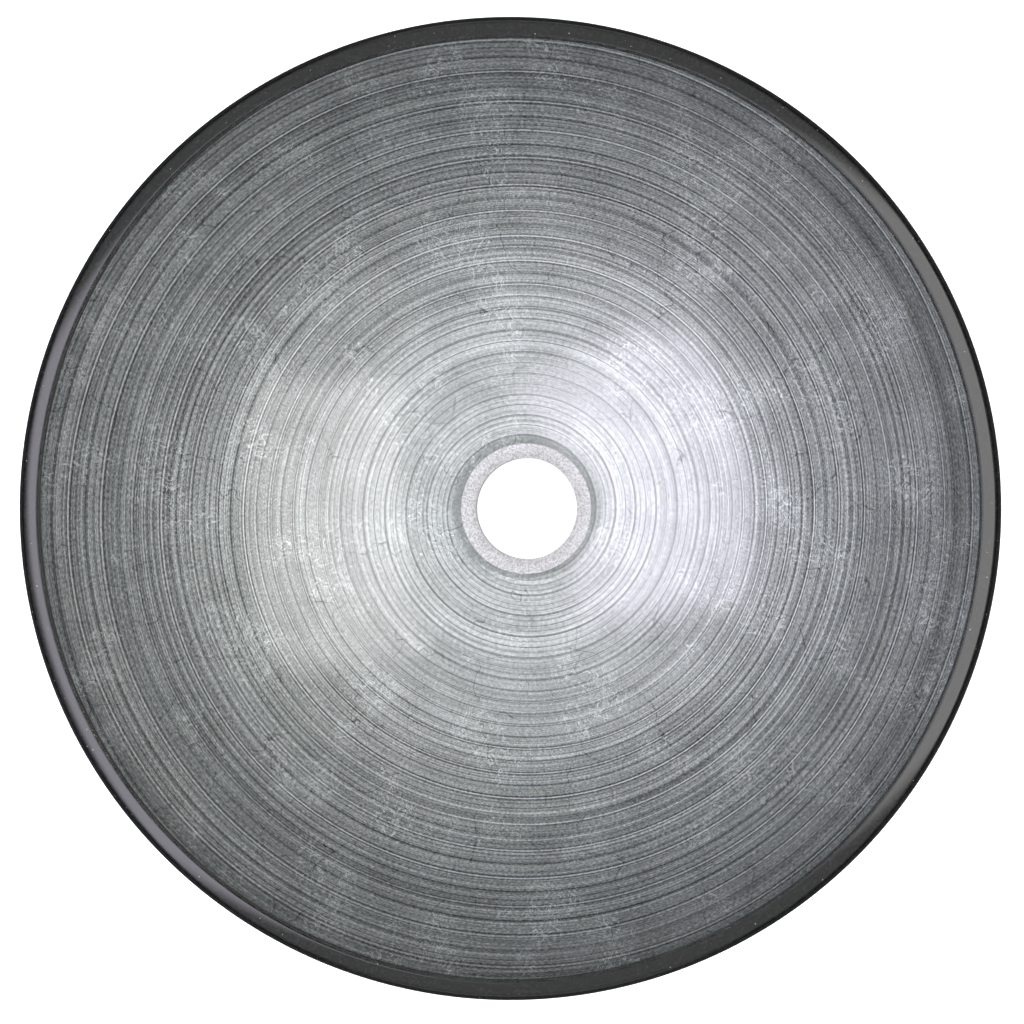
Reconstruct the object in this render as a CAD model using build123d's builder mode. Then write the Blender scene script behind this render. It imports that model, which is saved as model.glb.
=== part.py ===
from build123d import *
import os
from math import asin, atan, cos, sin, sqrt

# Round glass vessel basin: sagged clear glass with silver leaf and a black coat on its
# underside, standing on a metal mounting ring between two rubber gaskets.
# Millimetres, +Z up. The origin is on the counter, on the axis of the drain hole.

# Glass
rim_diameter = 420.0  # across the finished rim
wall_height = 141.0  # from the lowest point of the outer sphere up to the rim's outer corner
floor_glass = 12.0  # thickness on the axis
rim_glass = 10.5  # thickness at the rim, measured across the wall
rim_outer_rounding = 5.2
rim_inner_rounding = 0.6

# Drain hole
drain_bore = 45.0
drain_seat_width = 6.5  # of the ground seat round the hole, seen from above
drain_seat_depth = 1.2  # at the bore, below the edge of the seat
bore_chamfer = 1.0  # at the underside

# Coats on the underside
leaf_thickness = 0.3
leaf_rim_margin = 11.0  # bare of leaf below the rim's outer corner, along the wall
leaf_bore_margin = 1.5  # bare of leaf round the chamfer of the drain hole
coat_thickness = 0.5  # over the leaf
coat_rim_margin = 0.5  # below the rounding of the rim
coat_bore_margin = 0.5

# Mounting ring
ring_diameter = 90.0
ring_bore = 62.0
ring_height = 12.0
ring_lip = 2.0  # width of the lip that holds the upper gasket in
ring_lip_gap = 0.8  # between the lip and the coated basin
ring_top_rounding = 1.2
ring_foot_chamfer = 0.6

# Gaskets
upper_gasket_thickness = 2.0
upper_gasket_inset = 2.0  # from the bore of the ring
lower_gasket_thickness = 2.5
lower_gasket_width = 8.0
lower_gasket_proud = 1.0  # the gap between the ring and the counter
gasket_clearance = 0.25  # at the sides of each gasket

# The outer faces of the glass, the leaf and the coat are spheres with one centre.
rim_slope = 2 * atan(2 * wall_height / rim_diameter)
rounding_loss = rim_outer_rounding * (sin(rim_slope) + cos(rim_slope) - 1)
corner_radius = rim_diameter / 2 + rounding_loss
glass_sphere = (corner_radius**2 + wall_height**2) / (2 * wall_height)
leaf_sphere = glass_sphere + leaf_thickness
coat_sphere = leaf_sphere + coat_thickness
gasket_sphere = coat_sphere + upper_gasket_thickness
rim_angle = asin(corner_radius / glass_sphere)

# Heights above the counter
ring_foot = lower_gasket_proud
ring_top = ring_foot + ring_height
lip_radius = ring_diameter / 2 - ring_lip
sphere_centre = ring_top + ring_lip_gap + sqrt(coat_sphere**2 - lip_radius**2)
floor_height = sphere_centre - glass_sphere + floor_glass


def on_sphere(radius, angle):
    """A point of the section, at an angle from straight down about the spheres' centre."""
    return (radius * sin(angle), sphere_centre - radius * cos(angle))


def shell_face(inner, outer, start, end, mode=Mode.ADD):
    """The section of a thin coat between two spheres and two angles."""
    middle = (start + end) / 2
    with BuildLine() as outline:
        ThreePointArc(on_sphere(inner, start), on_sphere(inner, middle), on_sphere(inner, end))
        Line(on_sphere(inner, end), on_sphere(outer, end))
        ThreePointArc(on_sphere(outer, end), on_sphere(outer, middle), on_sphere(outer, start))
        Line(on_sphere(outer, start), on_sphere(inner, start))
    make_face(outline.edges(), mode=mode)


# The inner face of the glass is a sphere of its own, so that the wall thins towards the rim.
inner_corner = on_sphere(glass_sphere - rim_glass, rim_angle)
inner_depth = inner_corner[1] - floor_height
inner_sphere = (inner_corner[0] ** 2 + inner_depth**2) / (2 * inner_depth)
inner_centre = floor_height + inner_sphere
inner_angle = asin(inner_corner[0] / inner_sphere)
bore_radius = drain_bore / 2
seat_angle = asin((bore_radius + drain_seat_width) / inner_sphere)


def on_inner_face(angle):
    """A point of the inner face's section, at an angle from straight down."""
    return (inner_sphere * sin(angle), inner_centre - inner_sphere * cos(angle))


foot_angle = asin((bore_radius + bore_chamfer) / glass_sphere)
foot_edge = on_sphere(glass_sphere, foot_angle)
seat_edge = on_inner_face(seat_angle)
seat_bottom = seat_edge[1] - drain_seat_depth

with BuildPart() as glass_bowl:
    with BuildSketch(Plane.XZ) as glass_section:
        with BuildLine():
            outer_face = ThreePointArc(
                foot_edge,
                on_sphere(glass_sphere, (foot_angle + rim_angle) / 2),
                on_sphere(glass_sphere, rim_angle),
            )
            Line(outer_face @ 1, inner_corner)
            ThreePointArc(inner_corner, on_inner_face((inner_angle + seat_angle) / 2), seat_edge)
            Polyline(
                seat_edge,
                (bore_radius, seat_bottom),
                (bore_radius, foot_edge[1] + bore_chamfer),
                foot_edge,
            )
        make_face()
        outer_corner = glass_section.vertices().sort_by(Axis.X)[-1]
        fillet(outer_corner, radius=rim_outer_rounding)
        top_corner = glass_section.vertices().sort_by(Axis.Y)[-1]
        fillet(top_corner, radius=rim_inner_rounding)
    revolve(axis=Axis.Z)
glass_bowl.part.label = "glass_bowl"

leaf_start = asin((bore_radius + bore_chamfer + leaf_bore_margin) / glass_sphere)
leaf_end = rim_angle - leaf_rim_margin / glass_sphere

with BuildPart() as silver_leaf:
    with BuildSketch(Plane.XZ):
        shell_face(glass_sphere, leaf_sphere, leaf_start, leaf_end)
    revolve(axis=Axis.Z)
silver_leaf.part.label = "silver_leaf"

coat_start = asin((bore_radius + bore_chamfer + coat_bore_margin) / glass_sphere)
coat_end = rim_angle - (rim_outer_rounding + coat_rim_margin) / glass_sphere

with BuildPart() as black_back_coat:
    with BuildSketch(Plane.XZ):
        shell_face(glass_sphere, coat_sphere, coat_start, coat_end)
        shell_face(glass_sphere, leaf_sphere, leaf_start, leaf_end, mode=Mode.SUBTRACT)
    revolve(axis=Axis.Z)
black_back_coat.part.label = "black_back_coat"

bore_edge_angle = asin(ring_bore / 2 / gasket_sphere)
lip_angle = asin(lip_radius / gasket_sphere)
ring_seat_inner = on_sphere(gasket_sphere, bore_edge_angle)
ring_seat_outer = on_sphere(gasket_sphere, lip_angle)
groove_middle = (ring_diameter + ring_bore) / 4
groove_half_width = lower_gasket_width / 2 + gasket_clearance

with BuildPart() as mounting_ring:
    with BuildSketch(Plane.XZ) as ring_section:
        with BuildLine():
            ThreePointArc(
                ring_seat_inner,
                on_sphere(gasket_sphere, (bore_edge_angle + lip_angle) / 2),
                ring_seat_outer,
            )
            Polyline(
                ring_seat_outer,
                (lip_radius, ring_top),
                (ring_diameter / 2, ring_top),
                (ring_diameter / 2, ring_foot),
                (ring_bore / 2, ring_foot),
                ring_seat_inner,
            )
        make_face()
        outer_edges = ring_section.vertices().group_by(Axis.X)[-1].sort_by(Axis.Y)
        fillet(outer_edges[-1], radius=ring_top_rounding)
        chamfer(outer_edges[0], length=ring_foot_chamfer)
        with Locations((groove_middle, ring_foot)):
            Rectangle(
                2 * groove_half_width,
                lower_gasket_thickness - lower_gasket_proud,
                align=(Align.CENTER, Align.MIN),
                mode=Mode.SUBTRACT,
            )
    revolve(axis=Axis.Z)
mounting_ring.part.label = "mounting_ring"

upper_start = asin((ring_bore / 2 + upper_gasket_inset) / coat_sphere)
upper_end = asin((lip_radius - gasket_clearance) / gasket_sphere)

with BuildPart() as upper_gasket:
    with BuildSketch(Plane.XZ):
        shell_face(coat_sphere, gasket_sphere, upper_start, upper_end)
    revolve(axis=Axis.Z)
upper_gasket.part.label = "upper_gasket"

with BuildPart() as lower_gasket:
    with BuildSketch(Plane.XY):
        Circle(groove_middle + lower_gasket_width / 2)
        Circle(groove_middle - lower_gasket_width / 2, mode=Mode.SUBTRACT)
    extrude(amount=lower_gasket_thickness)
lower_gasket.part.label = "lower_gasket"

os.makedirs("parts", exist_ok=True)
export_step(glass_bowl.part, "parts/glass_bowl.step")
export_step(silver_leaf.part, "parts/silver_leaf.step")
export_step(black_back_coat.part, "parts/black_back_coat.step")
export_step(mounting_ring.part, "parts/mounting_ring.step")
export_step(upper_gasket.part, "parts/upper_gasket.step")
export_step(lower_gasket.part, "parts/lower_gasket.step")
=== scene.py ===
from math import asin, atan, cos, e, pi, radians, sin

import bpy
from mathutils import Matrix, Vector


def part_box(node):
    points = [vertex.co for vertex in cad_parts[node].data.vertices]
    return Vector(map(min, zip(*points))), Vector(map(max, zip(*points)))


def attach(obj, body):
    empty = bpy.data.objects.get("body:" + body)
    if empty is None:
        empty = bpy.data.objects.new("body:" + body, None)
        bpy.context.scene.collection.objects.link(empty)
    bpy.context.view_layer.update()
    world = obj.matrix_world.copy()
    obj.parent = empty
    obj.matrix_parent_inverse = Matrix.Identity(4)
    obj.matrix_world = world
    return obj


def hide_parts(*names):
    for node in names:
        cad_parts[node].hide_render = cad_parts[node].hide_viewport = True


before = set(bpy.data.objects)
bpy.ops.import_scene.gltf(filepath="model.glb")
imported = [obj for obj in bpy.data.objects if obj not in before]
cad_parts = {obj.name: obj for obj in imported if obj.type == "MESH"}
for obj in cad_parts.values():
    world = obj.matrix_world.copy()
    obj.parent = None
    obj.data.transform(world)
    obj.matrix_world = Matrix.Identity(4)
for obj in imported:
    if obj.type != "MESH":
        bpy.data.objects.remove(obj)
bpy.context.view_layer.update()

# Glass vessel basin: clear sagged glass, brushed silver leaf and black lacquer on its back,
# standing on a chrome ring with rubber gaskets. Metres, +Z up, the counter at z = 0.
bpy.ops.object.select_all(action="DESELECT")
scene = bpy.context.scene
mm = 0.001


def hexColour(text):
    # sRGB hex turned to the linear values that shaders and lights read
    shares = [int(text[i:i + 2], 16) / 255 for i in (1, 3, 5)]
    return (*[s / 12.92 if s <= 0.04045 else ((s + 0.055) / 1.055) ** 2.4 for s in shares], 1)


def addNode(material, kind, inputs=None, stops=None, **settings):
    # an input takes a number, a colour, one output of a node, or a node whose first live output is meant
    tree = material.node_tree
    node = tree.nodes.new("ShaderNode" + kind)
    for name, value in settings.items():
        setattr(node, name, value)
    if stops:
        # a new ramp has a stop at each end: the first is used again, the other goes
        elements = node.color_ramp.elements
        elements.remove(elements[1])
        elements[0].position = stops[0][0]
        elements[0].color = (*[stops[0][1]] * 3, 1)
        for position, shade in stops[1:]:
            elements.new(position).color = (shade, shade, shade, 1)
    for name, value in (inputs or {}).items():
        if isinstance(value, bpy.types.Node):
            value = [output for output in value.outputs if output.enabled][0]
        if isinstance(value, bpy.types.NodeSocket):
            tree.links.new(value, node.inputs[name])
        else:
            node.inputs[name].default_value = value
    return node


def newMaterial(name):
    material = bpy.data.materials.new(name)
    material.use_nodes = True
    material.node_tree.nodes.clear()
    return material


glass = {
    "tint": "#c4e8d6",  # iron in the melt: green where the way through it is long
    "absorbed": 7.0,  # per metre
    "index": 1.52,
    "seatRoughness": 0.5,
    "seatClear": 0.7,  # share of the light that goes on through the frost
    "frostDark": 0.5,
    "frostPale": 1.0,
    "grit": 0.8 * mm,  # coarser than the real grit, so that it still shows
    "gritHeight": 0.12 * mm,
}


def makeClearGlass():
    # sagged soda-lime glass, fire-polished: a clear wet gloss and a green cast in the thick of it
    material = newMaterial("clearSodaLimeGlass")
    shader = addNode(material, "BsdfPrincipled", {
        "Base Color": (1, 1, 1, 1), "Roughness": 0.0, "IOR": glass["index"], "Transmission Weight": 1.0})
    depth = addNode(material, "VolumeAbsorption", {
        "Color": hexColour(glass["tint"]), "Density": glass["absorbed"]})
    addNode(material, "OutputMaterial", {"Surface": shader, "Volume": depth})
    return material


def makeGroundGlass():
    # the same glass ground with fine grit: a white frost that sparkles grain by grain
    material = newMaterial("groundSodaLimeGlass")
    place = addNode(material, "TexCoord")
    grit = addNode(material, "TexNoise", {
        "Vector": place.outputs["Object"], "Scale": 1 / glass["grit"], "Detail": 1.0, "Roughness": 0.7})
    bump = addNode(material, "Bump", {"Height": grit, "Strength": 0.9, "Distance": glass["gritHeight"]})
    frost = addNode(material, "MapRange", {
        "Value": grit, "From Min": 0.38, "From Max": 0.62,
        "To Min": glass["frostDark"], "To Max": glass["frostPale"]})
    colour = addNode(material, "CombineColor", {0: frost, 1: frost, 2: frost})
    shader = addNode(material, "BsdfPrincipled", {
        "Base Color": colour, "Roughness": glass["seatRoughness"], "IOR": glass["index"],
        "Transmission Weight": glass["seatClear"], "Normal": bump})
    addNode(material, "OutputMaterial", {"Surface": shader})
    return material


# the brush on the wheel: sizes in mm
brush = {
    "centre": (-1.6, 0.7),  # by which the wheel ran off the bowl's axis
    "pitch": 8.2,  # between two passes at the drain
    "pitchGrowth": 0.0228,  # wider for every mm outwards
    "stepFrom": 120 / 360,  # the brush moves out over this part of each turn
    "stepFull": 330 / 360,
    "firstLine": 32.6,  # radius where the brush first touched
    "shift": 0.17,  # of a pass, by which the whole spiral is turned
    "twinFrom": 75.0,  # radii between which each pass comes to leave two dark lines
    "twinFull": 115.0,
    "depthNear": 1.75,  # how much deeper the lines are near the drain
    "pressedNear": 0.5,  # how much fainter the bristles are there
    "groove": 0.05 * mm,
    # cells across a pass, changes in a turn, and how far each moves the tone
    "bristles": ((7, 1.5, 0.14), (19, 2.5, 0.4), (34, 700, 0.42)),
}
# the leaf itself: sizes in mm, and how far each flaw moves the tone
leaf = {
    "silver": "#f4f5f7",
    "share": 0.5,  # of the light that the leaf gives back on the floor of the bowl
    "paintedRimShade": 0.15,  # painted shade: how much darker, in tone, the leaf is made at the rim
    "darkest": 0.05,
    "contrast": 2.2,  # power that turns a tone into a share of light
    "roughness": 0.56,
    "patchSize": 22,
    "patchTone": 0.22,
    "crinkleSize": 1.6,
    "crinkleTone": 0.5,
    "foldSize": 6,
    "foldTone": 0.8,
    "foldSpread": 34,
    "crackSize": 22,
    "crackTone": -0.3,
    "crackSpread": 26,
    "crackBend": 15.0,
    "crackBendSize": 14,
}


def makeSilverLeaf():
    # aluminium-coloured leaf on size, brushed on a wheel: satin metal ringed with dark bristle lines
    material = newMaterial("brushedSilverLeaf")
    place = addNode(material, "TexCoord").outputs["Object"]
    flat = addNode(material, "Mapping", {"Vector": place, "Scale": (1 / mm, 1 / mm, 0)})
    centreX, centreY = brush["centre"]
    local = addNode(material, "Mapping", {"Vector": flat, "Location": (-centreX, -centreY, 0)})
    radius = addNode(material, "VectorMath", {0: local}, operation="LENGTH").outputs["Value"]
    axes = addNode(material, "SeparateXYZ", {0: local})
    angle = addNode(material, "Math", {0: axes.outputs["Y"], 1: axes.outputs["X"]}, operation="ARCTAN2")
    turn = addNode(material, "Math", {0: angle, 1: 1 / (2 * pi)}, operation="MULTIPLY")
    turn = addNode(material, "Math", {0: turn}, operation="FRACT")

    # one spiral: passes counted outwards, less the step that the brush makes in each turn
    step = addNode(material, "MapRange", {
        "Value": turn, "From Min": brush["stepFrom"], "From Max": brush["stepFull"],
    }, interpolation_type="SMOOTHSTEP")
    growth = brush["pitchGrowth"]
    grown = addNode(material, "Math", {
        0: radius, 1: growth / brush["pitch"], 2: 1.0}, operation="MULTIPLY_ADD")
    passes = addNode(material, "Math", {0: grown, 1: e}, operation="LOGARITHM")
    passes = addNode(material, "Math", {
        0: passes, 1: 1 / growth, 2: brush["shift"]}, operation="MULTIPLY_ADD")
    spiral = addNode(material, "Math", {0: passes, 1: step}, operation="SUBTRACT")
    across = addNode(material, "Math", {0: spiral}, operation="FRACT")
    whole = addNode(material, "Math", {0: spiral}, operation="FLOOR")
    along = addNode(material, "Math", {0: whole, 1: turn}, operation="ADD")

    # the tone is a sum of small steps about 1, in the even steps that the eye sees
    twin = addNode(material, "ValToRGB", {"Fac": across}, stops=[
        (0.0, 0.95), (0.02, 0.8), (0.036, 0.14), (0.056, 0.14), (0.08, 0.5), (0.13, 0.6), (0.2, 0.5),
        (0.36, 0.6), (0.43, 0.52), (0.47, 0.16), (0.495, 0.16), (0.53, 0.5), (0.57, 0.66), (0.64, 0.5),
        (0.74, 0.54), (0.77, 0.36), (0.8, 0.54), (0.9, 0.52), (0.935, 0.1), (0.962, 0.1), (0.98, 0.8),
        (1.0, 1.0)])
    # near the drain each pass leaves a thin line with a pale burr beside it, and a few fainter lines
    single = addNode(material, "ValToRGB", {"Fac": across}, stops=[
        (0.0, 0.0), (0.055, 0.6), (0.22, 0.6), (0.24, 0.36), (0.26, 0.6), (0.49, 0.6), (0.515, 0.2),
        (0.54, 0.6), (0.74, 0.56), (0.765, 0.36), (0.79, 0.6), (0.95, 0.62), (0.975, 0.0), (1.0, 1.0)])
    outward = addNode(material, "MapRange", {
        "Value": radius, "From Min": brush["twinFrom"], "From Max": brush["twinFull"]})
    lines = addNode(material, "Mix", {"Factor": outward, "A": single, "B": twin}, data_type="RGBA")
    wear = addNode(material, "TexNoise", {"W": along, "Scale": 2.3, "Detail": 2.0}, noise_dimensions="1D")
    wear = addNode(material, "MapRange", {
        "Value": wear, "From Min": 0.3, "From Max": 0.7, "To Min": 0.5, "To Max": 1.0})
    lines = addNode(material, "Math", {0: lines, 1: 0.5}, operation="SUBTRACT")
    lines = addNode(material, "Math", {0: lines, 1: wear}, operation="MULTIPLY")
    depth = addNode(material, "MapRange", {"Value": outward, "To Min": brush["depthNear"], "To Max": 1.0})
    tone = addNode(material, "Math", {0: lines, 1: depth}, operation="MULTIPLY")
    pressed = addNode(material, "MapRange", {"Value": outward, "To Min": brush["pressedNear"]})
    for cells, changes, strength in brush["bristles"]:
        cell = addNode(material, "CombineXYZ", {
            "X": addNode(material, "Math", {0: across, 1: cells}, operation="MULTIPLY"),
            "Y": addNode(material, "Math", {0: along, 1: changes}, operation="MULTIPLY")})
        bristle = addNode(material, "TexNoise", {
            "Vector": cell, "Scale": 1.0, "Detail": 1.0}, noise_dimensions="2D")
        bristle = addNode(material, "Math", {0: bristle, 1: 0.5}, operation="SUBTRACT")
        bristle = addNode(material, "Math", {0: bristle, 1: pressed}, operation="MULTIPLY")
        tone = addNode(material, "Math", {0: bristle, 1: 2 * strength, 2: tone}, operation="MULTIPLY_ADD")
    # the wheel leaves the leaf round the drain unbrushed
    started = addNode(material, "MapRange", {
        "Value": radius, "From Min": brush["firstLine"] - 0.4, "From Max": brush["firstLine"]})
    tone = addNode(material, "Math", {0: tone, 1: started}, operation="MULTIPLY")
    brushed = addNode(material, "Math", {0: tone, 1: 1.0}, operation="ADD")

    # patches where sheets of leaf lie thick or thin
    patches = addNode(material, "TexNoise", {
        "Vector": flat, "Scale": 1 / leaf["patchSize"], "Detail": 4.0}, noise_dimensions="2D")
    patches = addNode(material, "Math", {0: patches, 1: 0.5}, operation="SUBTRACT")
    tone = addNode(material, "Math", {
        0: patches, 1: leaf["patchTone"], 2: brushed}, operation="MULTIPLY_ADD")
    # crinkled leaf catches the light in small pale flecks
    crinkle = addNode(material, "TexNoise", {
        "Vector": flat, "Scale": 1 / leaf["crinkleSize"], "Detail": 3.0, "Roughness": 0.65,
    }, noise_dimensions="2D")
    crinkle = addNode(material, "Math", {0: crinkle, 1: 0.5}, operation="SUBTRACT")
    tone = addNode(material, "Math", {
        0: crinkle, 1: leaf["crinkleTone"], 2: tone}, operation="MULTIPLY_ADD")
    # and is folded over on itself here and there
    fold = addNode(material, "TexNoise", {
        "Vector": flat, "Scale": 1 / leaf["foldSize"], "Detail": 4.0, "Roughness": 0.6, "Distortion": 1.6,
    }, noise_dimensions="2D")
    fold = addNode(material, "Math", {0: fold, 1: 0.5}, operation="SUBTRACT")
    fold = addNode(material, "Math", {0: fold}, operation="ABSOLUTE")
    fold = addNode(material, "MapRange", {"Value": fold, "From Max": 0.02, "To Min": 1.0, "To Max": 0.0})
    folded = addNode(material, "TexNoise", {
        "Vector": flat, "Scale": 1 / leaf["foldSpread"], "Detail": 3.0}, noise_dimensions="2D")
    folded = addNode(material, "MapRange", {"Value": folded, "From Min": 0.52, "From Max": 0.62})
    fold = addNode(material, "Math", {0: fold, 1: folded}, operation="MULTIPLY")
    tone = addNode(material, "Math", {0: fold, 1: leaf["foldTone"], 2: tone}, operation="MULTIPLY_ADD")

    # hairline cracks across the strokes, in places
    bent = addNode(material, "TexNoise", {
        "Vector": flat, "Scale": 1 / leaf["crackBendSize"], "Detail": 2.0}, noise_dimensions="2D")
    bend = addNode(material, "VectorMath", {0: bent.outputs["Color"], 1: (-0.5, -0.5, -0.5)}, operation="ADD")
    bend = addNode(material, "VectorMath", {0: bend, "Scale": leaf["crackBend"]}, operation="SCALE")
    bend = addNode(material, "VectorMath", {0: bend, 1: flat}, operation="ADD")
    cells = addNode(material, "TexVoronoi", {
        "Vector": bend, "Scale": 1 / leaf["crackSize"],
    }, voronoi_dimensions="2D", feature="DISTANCE_TO_EDGE")
    crack = addNode(material, "MapRange", {
        "Value": cells, "From Min": 0.003, "From Max": 0.012, "To Min": 1.0, "To Max": 0.0})
    where = addNode(material, "TexNoise", {
        "Vector": flat, "Scale": 1 / leaf["crackSpread"], "Detail": 2.0, "Distortion": 0.4,
    }, noise_dimensions="2D")
    where = addNode(material, "MapRange", {"Value": where, "From Min": 0.48, "From Max": 0.56})
    crack = addNode(material, "Math", {0: crack, 1: where}, operation="MULTIPLY")
    tone = addNode(material, "Math", {0: crack, 1: leaf["crackTone"], 2: tone}, operation="MULTIPLY_ADD")

    # painted shade: the leaf is made darker up the wall, most at the rim
    reach = addNode(material, "Math", {
        0: radius, 1: 2 * mm / bowl["rimDiameter"]}, operation="MULTIPLY")
    reach = addNode(material, "Math", {0: reach, 1: 2.0}, operation="POWER")
    tone = addNode(material, "Math", {0: reach, 1: -leaf["paintedRimShade"], 2: tone}, operation="MULTIPLY_ADD")
    tone = addNode(material, "Math", {0: tone, 1: leaf["darkest"]}, operation="MAXIMUM")
    share = addNode(material, "Math", {0: tone, 1: leaf["contrast"]}, operation="POWER")
    share = addNode(material, "Math", {0: share, 1: leaf["share"]}, operation="MULTIPLY", use_clamp=True)
    colour = addNode(material, "Mix", {
        "Factor": share, "A": (0, 0, 0, 1), "B": hexColour(leaf["silver"])}, data_type="RGBA")
    bump = addNode(material, "Bump", {"Height": brushed, "Strength": 0.2, "Distance": brush["groove"]})
    shader = addNode(material, "BsdfPrincipled", {
        "Base Color": colour, "Metallic": 1.0, "Roughness": leaf["roughness"], "Normal": bump})
    addNode(material, "OutputMaterial", {"Surface": shader})
    return material


lacquer = {
    "black": "#101112",
    "peel": 4 * mm,
    "peelHeight": 0.1 * mm,
    "glossiest": 0.16,  # roughness, from the best of the coat to the worst
    "dullest": 0.3,
}


def makeBlackCoat():
    # sprayed black lacquer: a deep gloss with a slow orange peel
    material = newMaterial("blackBackLacquer")
    place = addNode(material, "TexCoord")
    peel = addNode(material, "TexNoise", {
        "Vector": place.outputs["Object"], "Scale": 1 / lacquer["peel"], "Detail": 2.0})
    bump = addNode(material, "Bump", {"Height": peel, "Strength": 0.2, "Distance": lacquer["peelHeight"]})
    rough = addNode(material, "MapRange", {
        "Value": peel, "To Min": lacquer["glossiest"], "To Max": lacquer["dullest"]})
    shader = addNode(material, "BsdfPrincipled", {
        "Base Color": hexColour(lacquer["black"]), "Roughness": rough, "Normal": bump})
    addNode(material, "OutputMaterial", {"Surface": shader})
    return material


enamel = {
    "black": "#0c0d0e",
    "scuffed": "#232425",
    "grain": "#a3a19e",
    "grainSize": 2.4 * mm,
    "scuffSize": 1.2 * mm,
    "scuffHeight": 0.05 * mm,
    "glossiest": 0.03,
    "dullest": 0.16,
}


def makeRimEnamel():
    # the same black over the cut edge of the glass: a wet gloss, with pale grains caught in it
    material = newMaterial("blackRimEnamel")
    place = addNode(material, "TexCoord").outputs["Object"]
    grains = addNode(material, "TexVoronoi", {"Vector": place, "Scale": 1 / enamel["grainSize"]})
    grain = addNode(material, "MapRange", {
        "Value": grains, "From Min": 0.06, "From Max": 0.14, "To Min": 1.0, "To Max": 0.0})
    pick = addNode(material, "SeparateColor", {0: grains.outputs["Color"]})
    pick = addNode(material, "MapRange", {"Value": pick.outputs["Red"], "From Min": 0.8, "From Max": 1.0})
    grain = addNode(material, "Math", {0: grain, 1: pick}, operation="MULTIPLY")
    scuff = addNode(material, "TexNoise", {
        "Vector": place, "Scale": 1 / enamel["scuffSize"], "Detail": 3.0})
    scuffed = addNode(material, "MapRange", {"Value": scuff, "From Min": 0.45, "From Max": 0.75})
    colour = addNode(material, "Mix", {
        "Factor": scuffed, "A": hexColour(enamel["black"]), "B": hexColour(enamel["scuffed"]),
    }, data_type="RGBA")
    colour = addNode(material, "Mix", {
        "Factor": grain, "A": colour, "B": hexColour(enamel["grain"])}, data_type="RGBA")
    rough = addNode(material, "MapRange", {
        "Value": scuff, "To Min": enamel["glossiest"], "To Max": enamel["dullest"]})
    bump = addNode(material, "Bump", {
        "Height": scuff, "Strength": 0.12, "Distance": enamel["scuffHeight"]})
    shader = addNode(material, "BsdfPrincipled", {"Base Color": colour, "Roughness": rough, "Normal": bump})
    addNode(material, "OutputMaterial", {"Surface": shader})
    return material


plate = {
    "chrome": "#d3d6d9",
    "toolMark": 0.5 * mm,
    "markHeight": 0.02 * mm,
    "smear": 9 * mm,
    "glossiest": 0.05,
    "dullest": 0.14,
}


def makeChrome():
    # chrome plate over turned brass: a clear mirror, dulled a little by wiping round the ring
    material = newMaterial("polishedChromePlate")
    place = addNode(material, "TexCoord").outputs["Object"]
    level = addNode(material, "Mapping", {"Vector": place, "Scale": (1, 1, 0)})
    across = addNode(material, "VectorMath", {0: level}, operation="LENGTH").outputs["Value"]
    height = addNode(material, "SeparateXYZ", {0: place}).outputs["Z"]
    wiped = addNode(material, "CombineXYZ", {"X": across, "Y": height})
    turned = addNode(material, "TexNoise", {
        "Vector": wiped, "Scale": 1 / plate["toolMark"], "Detail": 2.0})
    smear = addNode(material, "TexNoise", {"Vector": place, "Scale": 1 / plate["smear"], "Detail": 3.0})
    rough = addNode(material, "MapRange", {
        "Value": smear, "From Min": 0.3, "From Max": 0.7,
        "To Min": plate["glossiest"], "To Max": plate["dullest"]})
    bump = addNode(material, "Bump", {
        "Height": turned, "Strength": 0.15, "Distance": plate["markHeight"]})
    shader = addNode(material, "BsdfPrincipled", {
        "Base Color": hexColour(plate["chrome"]), "Metallic": 1.0, "Roughness": rough, "Normal": bump})
    addNode(material, "OutputMaterial", {"Surface": shader})
    return material


gasket = {
    "black": "#1b1b1c",
    "bloom": "#2b2b2b",
    "grainSize": 0.6 * mm,
    "grainHeight": 0.08 * mm,
    "bloomSize": 12 * mm,
    "glossiest": 0.62,
    "dullest": 0.84,
}


def makeRubber():
    # moulded black rubber: matt, with a fine grain and a dusty bloom
    material = newMaterial("mouldedNitrileRubber")
    place = addNode(material, "TexCoord").outputs["Object"]
    grain = addNode(material, "TexNoise", {
        "Vector": place, "Scale": 1 / gasket["grainSize"], "Detail": 3.0})
    bloom = addNode(material, "TexNoise", {
        "Vector": place, "Scale": 1 / gasket["bloomSize"], "Detail": 4.0})
    bloom = addNode(material, "MapRange", {"Value": bloom, "From Min": 0.4, "From Max": 0.7})
    colour = addNode(material, "Mix", {
        "Factor": bloom, "A": hexColour(gasket["black"]), "B": hexColour(gasket["bloom"]),
    }, data_type="RGBA")
    rough = addNode(material, "MapRange", {
        "Value": grain, "To Min": gasket["glossiest"], "To Max": gasket["dullest"]})
    bump = addNode(material, "Bump", {
        "Height": grain, "Strength": 0.4, "Distance": gasket["grainHeight"]})
    shader = addNode(material, "BsdfPrincipled", {"Base Color": colour, "Roughness": rough, "Normal": bump})
    addNode(material, "OutputMaterial", {"Surface": shader})
    return material


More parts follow.
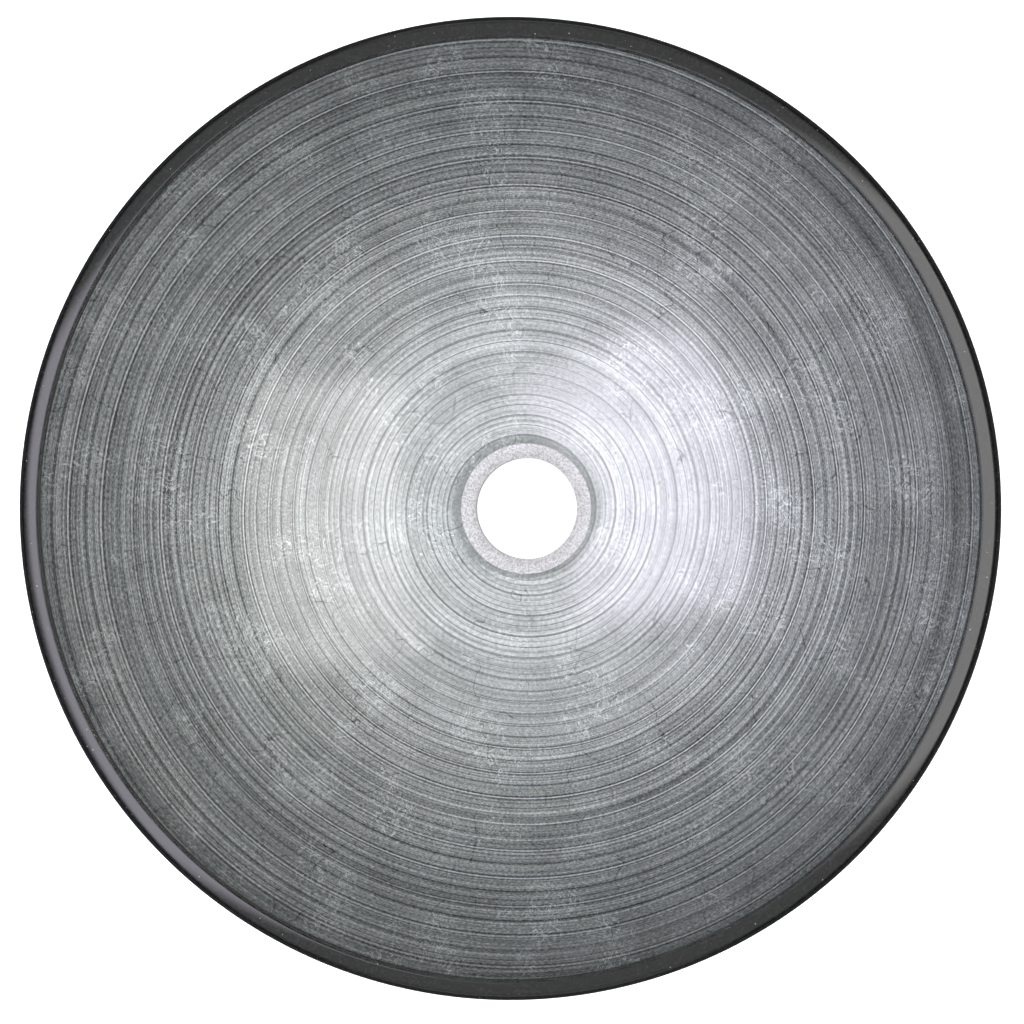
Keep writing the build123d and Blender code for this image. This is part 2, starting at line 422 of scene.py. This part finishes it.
# the driving sizes of the glass and its coats; everything turned on the axis follows from them
bowl = {
    "rimDiameter": 420 * mm,
    "wallHeight": 141 * mm,
    "floorGlass": 12 * mm,
    "rimGlass": 10.5 * mm,
    "outerRounding": 5.2 * mm,
    "innerRounding": 0.6 * mm,
    "drainBore": 45 * mm,
    "seatWidth": 6.5 * mm,
    "seatDepth": 1.2 * mm,
    "boreChamfer": 1 * mm,
    "leafRimMargin": 11 * mm,
    "leafBoreMargin": 1.5 * mm,
    "leafThickness": 0.3 * mm,
    "coatThickness": 0.5 * mm,
    "coatRimMargin": 0.5 * mm,
    "coatBoreMargin": 0.5 * mm,
    "sunk": 0.06 * mm,  # how far inside the glass the coats start, so that no film of air is left between
    "around": 288,
    "along": 80,
}
rimSlope = 2 * atan(2 * bowl["wallHeight"] / bowl["rimDiameter"])
cornerRadius = bowl["rimDiameter"] / 2 + bowl["outerRounding"] * (sin(rimSlope) + cos(rimSlope) - 1)
glassSphere = (cornerRadius**2 + bowl["wallHeight"] ** 2) / (2 * bowl["wallHeight"])
rimAngle = asin(cornerRadius / glassSphere)
boreRadius = bowl["drainBore"] / 2
footAngle = asin((boreRadius + bowl["boreChamfer"]) / glassSphere)
coatEnd = rimAngle - (bowl["outerRounding"] + bowl["coatRimMargin"]) / glassSphere
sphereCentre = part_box("glass_bowl")[0].z + glassSphere * cos(footAngle)  # the foot is the glass's lowest edge


def onSphere(radius, angle, centre):
    return (radius * sin(angle), centre - radius * cos(angle))


def arcPoints(radius, start, end, centre, count):
    return [onSphere(radius, start + (end - start) * i / (count - 1), centre) for i in range(count)]


def turnProfile(name, profile, steps):
    # traces the half section point by point, closes it and spins it once round the axis
    bpy.ops.mesh.primitive_plane_add(size=mm, location=(profile[0][0], 0, profile[0][1]))
    piece = bpy.context.object
    piece.name = piece.data.name = name
    bpy.ops.object.transform_apply(location=True, rotation=True, scale=True)
    bpy.ops.object.mode_set(mode="EDIT")
    bpy.ops.mesh.select_mode(type="VERT")
    bpy.ops.mesh.merge(type="CENTER")
    for (x, z), (nextX, nextZ) in zip(profile, profile[1:]):
        bpy.ops.mesh.extrude_region_move(TRANSFORM_OT_translate={"value": (nextX - x, 0, nextZ - z)})
    bpy.ops.object.mode_set(mode="OBJECT")
    vertices = piece.data.vertices
    for vertex in vertices:
        vertex.select = False
    vertices[0].select = vertices[len(vertices) - 1].select = True
    bpy.ops.object.mode_set(mode="EDIT")
    bpy.ops.mesh.edge_face_add()
    bpy.ops.mesh.select_all(action="SELECT")
    bpy.ops.mesh.spin(steps=steps, angle=2 * pi, center=(0, 0, 0), axis=(0, 0, 1))
    bpy.ops.mesh.select_all(action="SELECT")
    bpy.ops.mesh.remove_doubles(threshold=0.002 * mm)
    bpy.ops.mesh.normals_make_consistent(inside=False)
    bpy.ops.mesh.select_all(action="DESELECT")
    bpy.ops.object.mode_set(mode="OBJECT")
    return piece


def roundRing(piece, ring, width, segments):
    # rounds the edge that runs round the axis through this point of the section
    onRing = [abs(v.co.xy.length - ring[0]) < 0.02 * mm and abs(v.co.z - ring[1]) < 0.02 * mm
              for v in piece.data.vertices]
    for edge in piece.data.edges:
        edge.select = all(onRing[i] for i in edge.vertices)
    bpy.ops.object.mode_set(mode="EDIT")
    bpy.ops.mesh.select_mode(type="EDGE")
    bpy.ops.mesh.bevel(offset=width, segments=segments, profile=0.5, affect="EDGES")
    bpy.ops.mesh.select_all(action="DESELECT")
    bpy.ops.object.mode_set(mode="OBJECT")


def finishPiece(piece, node, sharpAngle=35):
    bpy.ops.object.select_all(action="DESELECT")
    piece.select_set(True)
    bpy.context.view_layer.objects.active = piece
    bpy.ops.object.shade_smooth_by_angle(angle=radians(sharpAngle))
    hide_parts(node)
    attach(piece, "root")
    piece.select_set(False)
    print("made", piece.name, len(piece.data.polygons), "faces")


def makeGlassBowl():
    innerCorner = onSphere(glassSphere - bowl["rimGlass"], rimAngle, sphereCentre)
    floorHeight = sphereCentre - glassSphere + bowl["floorGlass"]
    depth = innerCorner[1] - floorHeight
    innerSphere = (innerCorner[0] ** 2 + depth**2) / (2 * depth)
    innerCentre = floorHeight + innerSphere
    innerAngle = asin(innerCorner[0] / innerSphere)
    seatAngle = asin((boreRadius + bowl["seatWidth"]) / innerSphere)
    # the last step up to the corner is long enough to take the rounding
    roundingStart = rimAngle - 1.04 * bowl["outerRounding"] / glassSphere
    outside = arcPoints(glassSphere, footAngle, roundingStart, sphereCentre, bowl["along"])
    outside.append(onSphere(glassSphere, rimAngle, sphereCentre))
    inside = arcPoints(innerSphere, innerAngle, seatAngle, innerCentre, bowl["along"])
    seatBottom = inside[-1][1] - bowl["seatDepth"]
    bore = [(boreRadius, seatBottom), (boreRadius, outside[0][1] + bowl["boreChamfer"])]
    piece = turnProfile("glassBowl", outside + inside + bore, bowl["around"])
    roundRing(piece, outside[-1], bowl["outerRounding"], 12)
    roundRing(piece, innerCorner, bowl["innerRounding"], 4)
    piece.data.materials.append(clearGlass)
    piece.data.materials.append(groundGlass)
    piece.data.materials.append(rimEnamel)
    coatTop = onSphere(glassSphere, coatEnd, sphereCentre)[1]
    for face in piece.data.polygons:
        # the cut edge of the rim is blacked, down to where the coat ends
        offInside = (face.center - Vector((0, 0, innerCentre))).length - innerSphere
        top = max(piece.data.vertices[i].co.z for i in face.vertices)
        if top > coatTop + 0.1 * mm and offInside > 0.05 * mm:
            face.material_index = 2
        # the seat and the wall of the hole are ground, the rest is polished
        near = face.center.xy.length < boreRadius + bowl["seatWidth"] + 0.05 * mm
        if near and face.center.z > outside[0][1] + 0.1 * mm:
            face.material_index = 1
    finishPiece(piece, "glass_bowl")
    return piece


def makeCoat(name, node, material, inner, outer, start, end):
    inside = arcPoints(inner, start, end, sphereCentre, bowl["along"])
    outside = arcPoints(outer, end, start, sphereCentre, bowl["along"])
    piece = turnProfile(name, inside + outside, bowl["around"])
    piece.data.materials.append(material)
    finishPiece(piece, node)
    return piece


clearGlass = makeClearGlass()
groundGlass = makeGroundGlass()
silverLeaf = makeSilverLeaf()
blackCoat = makeBlackCoat()
rimEnamel = makeRimEnamel()
chrome = makeChrome()
rubber = makeRubber()
print("made the materials")

makeGlassBowl()
leafSphere = glassSphere + bowl["leafThickness"]
coatSphere = leafSphere + bowl["coatThickness"]
leafStart = asin((boreRadius + bowl["boreChamfer"] + bowl["leafBoreMargin"]) / glassSphere)
leafEnd = rimAngle - bowl["leafRimMargin"] / glassSphere
coatStart = asin((boreRadius + bowl["boreChamfer"] + bowl["coatBoreMargin"]) / glassSphere)
makeCoat("silverLeafBack", "silver_leaf", silverLeaf,
         glassSphere - bowl["sunk"], leafSphere, leafStart, leafEnd)
makeCoat("blackCoatBack", "black_back_coat", blackCoat,
         glassSphere - bowl["sunk"] / 2, coatSphere, coatStart, coatEnd)

for node, finish in (("mounting_ring", chrome), ("upper_gasket", rubber), ("lower_gasket", rubber)):
    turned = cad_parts[node]
    turned.data.materials.clear()
    turned.data.materials.append(finish)
    print("gave", node, finish.name)

stage = {
    "floorHalf": 6.0,
    "floorShade": 0.85,
    "floorGlow": 0.6,
    "mirrored": 0.03,  # what the reflections see of the floor
    "pool": 0.34,  # and the painted glow they see of it under the bowl
    "poolEdge": 0.19,
    "poolFade": 0.06,
}
lampDistance = 1.5
lampAim = Vector((0, 0, 0.1))
lamps = {
    # degrees off the vertical and round from +X, width across and along that lean, share of soft edge
    "left": {
        "lean": 33, "azimuth": 193, "size": (2.0, 1.5), "edge": 0.18, "radiance": 4.7, "colour": "#f4eeff"},
    "right": {
        "lean": 42, "azimuth": 4, "size": (2.1, 1.2), "edge": 0.16, "radiance": 3.3, "colour": "#fdfafa"},
    "back": {
        "lean": 78, "azimuth": 90, "size": (1.6, 0.5), "edge": 0.3, "radiance": 1.0, "colour": "#f4f7f4"},
    "front": {
        "lean": 78, "azimuth": 270, "size": (1.6, 0.5), "edge": 0.3, "radiance": 1.0, "colour": "#f4f7f4"},
}

bpy.ops.mesh.primitive_plane_add(size=2 * stage["floorHalf"], location=(0, 0, 0))
floor = bpy.context.object
floor.name = "paleFloor"
floorPaint = newMaterial("opalFloor")
# white to the eye, dim to the reflections and to the glass, so that the rim stays dark
seen = addNode(floorPaint, "LightPath").outputs["Is Camera Ray"]
# painted light: under the bowl the floor glows to the reflections too, a pool of light that gives the chrome
# ring something to mirror
spot = addNode(floorPaint, "TexCoord").outputs["Object"]
away = addNode(floorPaint, "VectorMath", {0: spot}, operation="LENGTH")
pool = addNode(floorPaint, "MapRange", {
    "Value": away.outputs["Value"],
    "From Min": stage["poolEdge"] - stage["poolFade"], "From Max": stage["poolEdge"],
    "To Min": stage["pool"], "To Max": stage["mirrored"]})
glow = addNode(floorPaint, "Mix", {"Factor": seen, "A": pool, "B": stage["floorGlow"]}, data_type="FLOAT")
shade = addNode(floorPaint, "MapRange", {
    "Value": seen, "To Min": stage["mirrored"], "To Max": stage["floorShade"]})
shade = addNode(floorPaint, "CombineColor", {0: shade, 1: shade, 2: shade})
floorShader = addNode(floorPaint, "BsdfPrincipled", {
    "Base Color": shade, "Roughness": 0.6, "Emission Color": (1, 1, 1, 1), "Emission Strength": glow})
addNode(floorPaint, "OutputMaterial", {"Surface": floorShader})
floor.data.materials.append(floorPaint)

for name, lamp in lamps.items():
    lean, azimuth = radians(lamp["lean"]), radians(lamp["azimuth"])
    away = Vector((sin(lean) * cos(azimuth), sin(lean) * sin(azimuth), cos(lean)))
    bpy.ops.object.light_add(type="AREA", location=lampAim + lampDistance * away)
    light = bpy.context.object
    light.name = name + "Softbox"
    light.data.shape = "RECTANGLE"
    light.data.size, light.data.size_y = lamp["size"]
    light.data.energy = lamp["radiance"] * pi * lamp["size"][0] * lamp["size"][1]
    light.data.color = hexColour(lamp["colour"])[:3]
    light.rotation_euler = (-away).to_track_quat("-Z", "Y").to_euler()
    light.visible_camera = False
    # a softbox is brightest in the middle and fades to its edges
    light.data.use_nodes = True
    light.data.node_tree.nodes.clear()
    spot = addNode(light.data, "SeparateXYZ", {0: addNode(light.data, "NewGeometry").outputs["Parametric"]})
    fade = []
    for side in ("X", "Y"):
        off = addNode(light.data, "Math", {0: spot.outputs[side], 1: 0.5}, operation="SUBTRACT")
        off = addNode(light.data, "Math", {0: off}, operation="ABSOLUTE")
        fade.append(addNode(light.data, "MapRange", {
            "Value": off, "From Min": 0.5, "From Max": 0.5 - lamp["edge"]}, interpolation_type="SMOOTHSTEP"))
    strength = addNode(light.data, "Math", {0: fade[0], 1: fade[1]}, operation="MULTIPLY")
    addNode(light.data, "OutputLight", {"Surface": addNode(light.data, "Emission", {"Strength": strength})})

# the room is dark near the floor and grey overhead, and pale where the camera looks past the floor
room = {"darkBelow": 0.2, "greyAbove": 0.6, "backdrop": 0.9, "colour": "#f4f6f0"}
world = bpy.data.worlds.new("dimStudio")
scene.world = world
world.use_nodes = True
world.node_tree.nodes.clear()
sky = addNode(world, "TexCoord")
height = addNode(world, "SeparateXYZ", {0: sky.outputs["Generated"]})
grey = addNode(world, "MapRange", {
    "Value": height.outputs["Z"], "From Min": room["darkBelow"], "From Max": room["greyAbove"]})
seen = addNode(world, "LightPath").outputs["Is Camera Ray"]
strength = addNode(world, "Mix", {"Factor": seen, "A": grey, "B": room["backdrop"]}, data_type="FLOAT")
backdrop = addNode(world, "Background", {"Color": hexColour(room["colour"]), "Strength": strength})
addNode(world, "OutputWorld", {"Surface": backdrop})
scene.view_settings.view_transform = "Standard"

view = {"distance": 2.95, "lean": 3.62, "lens": 243.0, "aim": (0.00166, -0.0015)}
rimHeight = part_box("glass_bowl")[1].z - 6 * mm  # where the bowl is widest
aim = Vector((*view["aim"], rimHeight))
lean = radians(view["lean"])
bpy.ops.object.camera_add(location=(0, 0, 0))
camera = bpy.context.object
camera.location = aim + view["distance"] * Vector((sin(lean), 0, cos(lean)))
camera.rotation_euler = (0, lean, 0)
camera.data.lens = view["lens"]
camera.data.clip_end = 100
scene.camera = camera
